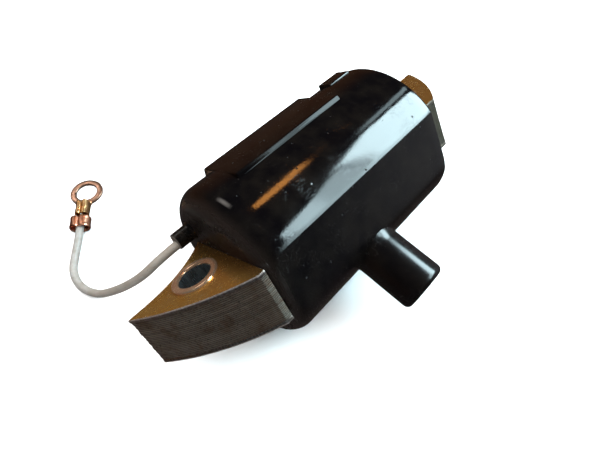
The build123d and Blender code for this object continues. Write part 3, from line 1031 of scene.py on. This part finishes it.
def sheared_paint():
    """Sheared edge of the same sheet: pinkish grey, drawn down across its thickness, with a painted highlight
    line along its outer edge, made less metallic there, and painted shade on the rear shoe.
    """
    paint = Paint("zinc sheared edge")
    drawn = paint.noise(2.4, 3.0, 0.6, paint.stretched(1.2, 1.2, 0.15))
    blotch = paint.noise(0.5, 3.0, 0.6)
    rear = rear_shade(paint)
    base = paint.mix(paint.span(drawn, 0.3, 0.7), (0.58, 0.50, 0.46), (0.80, 0.72, 0.68))
    base = paint.layers(base, (
        (paint.span(blotch, 0.5, 0.7), 0.5, (0.50, 0.36, 0.24)),
        # Painted shade: the rear shoe's sheared edges are painted dark.
        (rear, 0.8, (0.09, 0.07, 0.04)),
    ))
    outside = STACK_HALF + PLATE_T
    # Painted highlight: a thin line along the outer edge is made less metallic, so that it reads as a bright
    # highlight.
    painted_edge_highlight = paint.span(paint.maths("ABSOLUTE", paint.axis("Z")), outside - 0.30, outside - 0.18)
    painted_edge_highlight = paint.times(painted_edge_highlight, paint.maths("SUBTRACT", 1.0, rear))
    rough = paint.span(drawn, 0.3, 0.75, 0.28, 0.46)
    metal = paint.span(painted_edge_highlight, 0.0, 1.0, 1.0, 0.86)
    return paint.finish(base, rough, paint.bump(drawn, 0.02, 0.5), Metallic=metal)


def lamination_paint():
    """Varnished edges of electrical steel sheets, each sheet a little different, with brown rust bloom, a
    painted reflection on the front shoe's flat side and painted shade on the rear shoe.
    """
    paint = Paint("lamination edges", Metallic=0.9)
    x = paint.axis("X")
    sheets = paint.times(paint.axis("Z"), 1 / LAMINATION_T)
    sheet = paint.white_noise(paint.maths("FLOOR", sheets))
    within = paint.maths("SUBTRACT", paint.maths("FRACT", sheets), 0.5)
    joint = paint.span(paint.maths("ABSOLUTE", within), 0.26, 0.48)
    drawn = paint.noise(2.0, 3.0, 0.6, paint.stretched(1.3, 1.3, 0.2))
    bloom = paint.noise(0.30, 4.0, 0.65)
    speck = paint.noise(2.2, 3.0, 0.6)
    rear = rear_shade(paint)
    side = FRONT_SHOE["side"]
    # Painted reflection: the front shoe's flat side face is painted light greenish grey, where it catches the
    # bright room.
    painted_side_reflection = paint.times(paint.span(paint.axis("Y"), side + 0.14, side + 0.04), paint.span(x, 12.0, 10.0))
    base = paint.mix(sheet, (0.300, 0.250, 0.205), (0.410, 0.345, 0.285))
    base = paint.layers(base, (
        (paint.span(x, -16.0, -2.0), 0.55, (0.200, 0.125, 0.085)),
        # painted reflection on the flat side face
        (painted_side_reflection, 0.70, (0.46, 0.47, 0.41)),
        (paint.span(drawn, 0.40, 0.75), 0.30, (0.40, 0.36, 0.32)),
        (paint.span(bloom, 0.48, 0.68), 0.50, (0.20, 0.105, 0.055)),
        (paint.span(speck, 0.56, 0.70), 0.60, (0.06, 0.045, 0.035)),
        (joint, 0.85, (0.035, 0.025, 0.020)),
        # Painted shade: the rear shoe is painted near black.
        (rear, 0.85, (0.020, 0.020, 0.014)),
    ))
    rough = paint.plus(paint.span(sheet, 0.0, 1.0, 0.30, 0.38), paint.times(bloom, 0.12))
    rough = paint.plus(rough, paint.times(rear, 0.2))
    return paint.finish(base, rough, paint.bump(drawn, 0.015, 0.6))


def eyelet_paint():
    """Plated eyelet, pinkish beige, brushed round by its tool."""
    paint = Paint("eyelet plating", Metallic=0.92)
    cloud = paint.noise(0.5, 4.0, 0.6)
    fine = paint.noise(3.5, 4.0, 0.65)
    base = paint.mix(paint.span(cloud, 0.35, 0.65), (0.95, 0.66, 0.44), (0.86, 0.54, 0.34))
    base = paint.over(base, paint.span(fine, 0.55, 0.75), 0.35, (0.55, 0.42, 0.33))
    skin = paint.bump(cloud, 0.05, 0.4, paint.bump(fine, 0.006, 0.5))
    return paint.finish(base, paint.span(fine, 0.3, 0.75, 0.12, 0.26), skin)


def bore_paint():
    """Dull inner wall of an eyelet, a darker, bluer copy of the plating painted slate grey as painted shade
    and painted reflection inside the bore, with drawing lines.
    """
    paint = Paint("eyelet bore", Metallic=0.9)
    drawn = paint.noise(2.0, 3.0, 0.6, paint.stretched(1.5, 1.5, 0.15))
    # Painted shade and reflection: the wall is painted darker and bluer than the plating of the flange.
    base = paint.mix(paint.span(drawn, 0.3, 0.7), (0.12, 0.145, 0.155), (0.21, 0.25, 0.27))
    base = paint.over(base, paint.span(paint.noise(0.6, 3.0), 0.55, 0.7), 0.4, (0.10, 0.08, 0.06))
    return paint.finish(base, paint.span(drawn, 0.3, 0.7, 0.22, 0.36), paint.bump(drawn, 0.01, 0.5))


def lead_paint():
    """Pale grey PVC, slightly waxy, browner towards the case."""
    paint = Paint("lead insulation", IOR=1.50, Subsurface_Weight=0.06, Subsurface_Scale=0.0006)
    dirt_and_painted_shade = paint.noise(0.35, 4.0, 0.65)
    fine = paint.noise(5.0, 3.0, 0.6)
    base = paint.mix(paint.span(dirt_and_painted_shade, 0.35, 0.7), (0.285, 0.278, 0.265), (0.200, 0.185, 0.165))
    base = paint.layers(base, (
        (paint.span(paint.axis("Y"), 36.0, 24.0), 0.65, (0.190, 0.160, 0.125)),
        (paint.span(paint.noise(1.6, 3.0), 0.60, 0.72), 0.5, (0.14, 0.120, 0.095)),
    ))
    skin = paint.bump(fine, 0.006, 0.6, paint.bump(paint.noise(1.2, 2.0), 0.03, 0.5))
    return paint.finish(base, paint.span(fine, 0.3, 0.7, 0.34, 0.50), skin)


def boss_paint():
    """Black moulded boss, its end face painted lighter grey-brown as painted light where light falls on it,
    and rougher there.
    """
    paint = Paint("boss plastic", IOR=1.52)
    cloud = paint.noise(0.7, 4.0, 0.6)
    end = paint.span(paint.axis("X"), 0.12 - BOSS_L, 0.02 - BOSS_L)
    base = paint.mix(paint.span(cloud, 0.35, 0.7), (0.002, 0.002, 0.002), (0.006, 0.005, 0.004))
    # Painted light: the lit end face is painted lighter grey-brown.
    base = paint.over(base, end, 0.75, (0.10, 0.080, 0.066))
    rough = paint.plus(paint.span(cloud, 0.3, 0.7, 0.20, 0.34), paint.times(end, 0.25))
    return paint.finish(base, rough, paint.bump(paint.noise(3.0, 3.0), 0.012, 0.6))


def copper_paint():
    """Bare copper: salmon insulation crimp, orange wire crimp and reddish ring, with dark oxide."""
    paint = Paint("terminal copper", TERMINAL_PLACE, Metallic=1.0)
    cloud = paint.noise(0.55, 4.0, 0.65, distortion=0.5)
    fine = paint.noise(3.6, 4.0, 0.65)
    x = paint.axis("X")
    base = paint.mix(paint.span(x, -0.4, 1.4), (0.98, 0.47, 0.30), (1.00, 0.60, 0.27))
    base = paint.mix(paint.span(x, 4.6, 6.2), base, (0.70, 0.41, 0.29))
    base = paint.layers(base, (
        (paint.span(cloud, 0.46, 0.70), 0.40, (0.48, 0.21, 0.12)),
        (paint.span(fine, 0.56, 0.72), 0.6, (0.16, 0.075, 0.05)),
        (paint.span(paint.noise(1.1, 3.0), 0.58, 0.70), 0.15, (0.93, 0.76, 0.60)),
    ))
    rough = paint.plus(paint.span(cloud, 0.35, 0.7, 0.20, 0.34), paint.times(fine, 0.14))
    dents = paint.noise(0.9, 2.0, 0.5, paint.stretched(1, 2, 1))
    return paint.finish(base, rough, paint.bump(dents, 0.08, 0.5, paint.bump(fine, 0.02, 0.6)))


def metal_paint(name, light, dark, stain, place=TO_BENCH, rough=(0.22, 0.42), drawn_out=(1, 1, 1)):
    """Bare metal with tool marks drawn out along one axis and a stain in patches."""
    paint = Paint(name, place, Metallic=1.0)
    tool = paint.noise(4.0, 3.0, 0.6, paint.stretched(*drawn_out))
    cloud = paint.noise(0.9, 4.0, 0.65)
    base = paint.mix(paint.span(tool, 0.3, 0.7), dark, light)
    base = paint.over(base, paint.span(cloud, 0.5, 0.7), 0.5, stain)
    return paint.finish(base, paint.span(cloud, 0.3, 0.7, *rough), paint.bump(tool, 0.012, 0.6))


def wound_paint(name, pitch, light, dark):
    """Close-wound enamelled wire: a ridge for each turn along the case, with odd lighter turns."""
    paint = Paint(name, Metallic=0.9, Coat_Weight=0.5)
    turns = paint.times(paint.axis("X"), 1 / pitch)
    ridge = paint.maths("SINE", paint.times(paint.maths("FRACT", turns), math.pi))
    base = paint.mix(paint.white_noise(paint.maths("FLOOR", turns)), dark, light)
    base = paint.mix(paint.span(ridge, 0.5, 0.0), base, (0.10, 0.03, 0.015))
    rough = paint.span(paint.noise(0.4, 3.0), 0.3, 0.7, 0.22, 0.36)
    return paint.finish(base, rough, paint.bump(ridge, pitch * 0.4, 1.0))


def film_paint():
    """Varnished tape, lapped round in turns, with darker edges where it overlaps."""
    paint = Paint("insulation film", IOR=1.5, Coat_Weight=0.3)
    laps = paint.maths("FRACT", paint.times(paint.axis("X"), 1 / 9.0))
    fibre = paint.noise(2.5, 4.0, 0.6, paint.stretched(2.0, 0.3, 0.3))
    base = paint.mix(paint.span(paint.noise(0.25, 3.0), 0.3, 0.7), (0.62, 0.50, 0.27), (0.70, 0.60, 0.38))
    base = paint.layers(base, (
        (fibre, 0.35, (0.42, 0.30, 0.14)),
        (paint.span(laps, 0.03, 0.0), 0.7, (0.30, 0.20, 0.09)),
    ))
    skin = paint.bump(fibre, 0.01, 0.6, paint.bump(laps, 0.05, 0.5))
    return paint.finish(base, paint.span(fibre, 0.3, 0.7, 0.28, 0.48), skin)


def nylon_paint():
    """Natural nylon moulding with flow marks."""
    paint = Paint("bobbin nylon", IOR=1.53, Subsurface_Weight=0.2, Subsurface_Scale=0.001)
    flow = paint.noise(0.35, 4.0, 0.6, paint.stretched(0.4, 1, 1), 1.2)
    fine = paint.noise(6.0, 3.0)
    base = paint.mix(paint.span(flow, 0.35, 0.65), (0.62, 0.58, 0.50), (0.52, 0.48, 0.40))
    return paint.finish(base, paint.span(fine, 0.3, 0.7, 0.34, 0.48), paint.bump(fine, 0.008, 0.6))


def resin_paint():
    """Cast black epoxy, its face slightly uneven, with a few burst bubbles."""
    paint = Paint("potting resin", IOR=1.55)
    cloud = paint.noise(0.15, 4.0, 0.6)
    holes = paint.specks((0.35, 0.10, 0.04), (0.25, 0.5, 0.6))
    base = paint.mix(paint.span(cloud, 0.35, 0.7), (0.010, 0.009, 0.008), (0.022, 0.018, 0.014))
    base = paint.over(base, holes, 0.5, (0.06, 0.05, 0.04))
    skin = paint.hollow(holes, 0.15, 0.8, paint.bump(paint.noise(0.7, 3.0), 0.05, 0.5))
    return paint.finish(base, paint.span(cloud, 0.3, 0.7, 0.16, 0.34), skin)


def mark_bore(obj):
    """Gives the wall of an eyelet's bore its second material."""
    places = [vert.co for vert in obj.data.vertices]
    low = Vector(min(place[k] for place in places) for k in range(3))
    high = Vector(max(place[k] for place in places) for k in range(3))
    axis = TO_BENCH.to_3x3() @ Vector((0, 0, 1))
    wall_top = (STACK_HALF + PLATE_T + 0.1) * MM
    for polygon in obj.data.polygons:
        arm = Vector(polygon.center) - (low + high) / 2
        height = arm.dot(axis)
        on_wall = (arm - axis * height).length < (EYELET_HOLE_R + 0.03) * MM and abs(height) < wall_top
        polygon.material_index = int(on_wall)


def mark_edges(obj):
    """Gives the faces across a plate its second material."""
    normal = TO_BENCH.to_3x3() @ Vector((0, 0, 1))
    for polygon in obj.data.polygons:
        polygon.material_index = int(abs(polygon.normal.dot(normal)) <= 0.9)


BRIGHT_BRASS = ((0.84, 0.66, 0.32), (0.72, 0.52, 0.22), (0.45, 0.30, 0.14))
TIN = ((0.80, 0.78, 0.74), (0.62, 0.59, 0.55), (0.60, 0.42, 0.28))
SOLDER = ((0.74, 0.74, 0.72), (0.52, 0.52, 0.51), (0.40, 0.36, 0.28))
for objects, *materials in (
    ([case_moulding], case_paint()),
    (plates, gold_paint(), sheared_paint()),
    ([front_laminations, rear_laminations], lamination_paint()),
    (eyelets, eyelet_paint(), bore_paint()),
    ([lead_wire], lead_paint()),
    ([outlet_boss], boss_paint()),
    ([terminal], copper_paint()),
    ([strands], metal_paint("tinned strand", *TIN, TERMINAL_PLACE)),
    ([potting_fill], resin_paint()),
    ([contact_pin], metal_paint("turned brass", *BRIGHT_BRASS, TOWER_PLACE, (0.16, 0.32), (0.2, 0.2, 3.0))),
    ([cad["ht_link_strip"], cad["primary_ground_tab"]],
     metal_paint("brass strip", *BRIGHT_BRASS, drawn_out=(0.3, 2.0, 1.0))),
    ([cad["lead_solder_joint"]], metal_paint("solder", *SOLDER)),
    ([cad["primary_bobbin"], cad["secondary_bobbin"]], nylon_paint()),
    ([cad["interwinding_insulation"], cad["outer_winding_wrap"]], film_paint()),
    ([cad["primary_winding"]], wound_paint("enamelled copper", 0.55, (0.80, 0.38, 0.17), (0.62, 0.24, 0.09))),
    ([cad["secondary_windings"]],
     wound_paint("fine enamelled copper", 0.12, (0.82, 0.42, 0.20), (0.66, 0.30, 0.13))),
):
    for obj in objects:
        obj.data.materials.clear()
        for material in materials:
            obj.data.materials.append(material)
for plate in plates:
    mark_edges(plate)
for eyelet in eyelets:
    mark_bore(eyelet)

# ---- floor and light ----
FLOOR_HALF = 2.5
ROOM_BEHIND = (0.018, 0.018, 0.019)
ROOM_RIGHT = (0.30, 0.30, 0.315)
ROOM_AHEAD = (0.085, 0.034, 0.013)
ROOM_CEILING = (0.02, 0.017, 0.016)
ROOM_BELOW = (0.050, 0.040, 0.037)
BACKDROP = (0.90, 0.90, 0.90)
WINDOW_DISTANCE = 0.8
DAYLIGHT = (0.70, 0.93, 1.0)
LAMPLIGHT = (1.0, 0.40, 0.09)
WARM_WHITE = (1.0, 0.93, 0.86)


def make_floor():
    """A white sheet that lights the coil from below but does not show in its gloss."""
    builder = bmesh.new()
    bmesh.ops.create_grid(builder, x_segments=8, y_segments=8, size=FLOOR_HALF)
    floor = add_mesh("floor", builder)
    paint = Paint("white sheet", Roughness=0.95)
    base = paint.mix(paint.noise(0.004, 2.0), (0.96, 0.96, 0.96), (0.98, 0.98, 0.98))
    floor.data.materials.append(paint.set(Base_Color=base))
    floor.visible_glossy = False


def make_world():
    """A dim room, warm ahead, cool behind and dark overhead, so that polished black reads black.
    The camera itself sees a pale backdrop instead."""
    world = bpy.data.worlds.new("studio")
    bpy.context.scene.world = world
    world.use_nodes = True
    sky = Nodes(world.node_tree)
    direction = sky.node("TexCoord", "Generated", {})

    def step(letter, low, high):
        return sky.span(sky.part(direction, letter), low, high)

    behind = sky.mix(step("X", 0.33, 0.75), ROOM_BEHIND, ROOM_RIGHT)
    horizon = sky.mix(step("Y", -0.35, 0.35), behind, ROOM_AHEAD)
    room = sky.mix(step("Z", 0.10, 0.42), horizon, ROOM_CEILING)
    room = sky.mix(step("Z", -0.15, -0.60), room, ROOM_BELOW)
    seen = sky.mix(sky.node("LightPath", "Is Camera Ray", {}), room, BACKDROP)
    sky.wire(seen, sky.tree.nodes["Background"].inputs[0])


def make_light(name, direction, distance, size, power):
    """A square soft light that lights surfaces without showing in their gloss."""
    data = bpy.data.lights.new(name, "AREA")
    data.size = size
    data.energy = power
    lamp = bpy.data.objects.new(name, data)
    bpy.context.scene.collection.objects.link(lamp)
    place = Vector(direction).normalized() * distance
    lamp.matrix_world = Matrix.Translation(place) @ place.to_track_quat("Z", "Y").to_matrix().to_4x4()
    lamp.visible_glossy = False


def make_pane(name, strength, colour, faded, corners):
    """A glowing pane far from the coil, its corners given as directions in the row frame. A faded
    one falls to nothing at its edges."""
    builder = bmesh.new()
    places = (Vector(corner).normalized() * WINDOW_DISTANCE for corner in corners)
    builder.faces.new([builder.verts.new(place) for place in places])
    pane = add_mesh(name, builder, smooth=False)
    paint = Paint(name, Base_Color=(0, 0, 0, 1), Emission_Color=(*colour, 1))
    glow = strength
    for letter in "XZ" if faded else "":
        across = paint.part(paint.node("TexCoord", "Generated", {}), letter)
        glow = paint.times(paint.maths("SINE", paint.times(across, math.pi)), glow)
    pane.data.materials.append(paint.set(Emission_Strength=glow))
    pane.visible_camera = False


bpy.context.scene.view_settings.view_transform = "Standard"
make_floor()
make_world()
for pane in (
    ("window", 21.0, DAYLIGHT, False,
     [(0.53, -0.23, 0.82), (0.60, -0.07, 0.80), (0.80, -0.02, 0.60), (0.86, -0.36, 0.38),
      (0.60, -0.66, 0.46)]),
    ("window_upper", 4.0, DAYLIGHT, False,
     [(0.60, -0.02, 0.80), (0.61, 0.05, 0.79), (0.80, 0.12, 0.60), (0.80, 0.05, 0.60)]),
    ("window_near", 13.0, DAYLIGHT, False,
     [(0.33, -0.50, 0.80), (0.44, -0.39, 0.81), (0.46, -0.76, 0.46), (0.36, -0.80, 0.46)]),
    ("window_middle", 8.5, DAYLIGHT, False,
     [(0.44, -0.39, 0.81), (0.52, -0.27, 0.81), (0.59, -0.66, 0.46), (0.46, -0.76, 0.46)]),
    ("warm_lamp", 10.0, LAMPLIGHT, False,
     [(0.33, 0.18, 0.91), (0.33, 0.29, 0.91), (0.47, 0.28, 0.84), (0.47, 0.17, 0.84)]),
    ("soft_ceiling", 3.2, WARM_WHITE, True,
     [(-0.20, 0.52, 0.85), (0.16, 0.52, 0.85), (0.16, 0.86, 0.58), (-0.20, 0.86, 0.58)]),
):
    make_pane(*pane)
make_light("overhead fill", (0.1, 0.2, 1.0), 1.3, 2.2, 70.0)
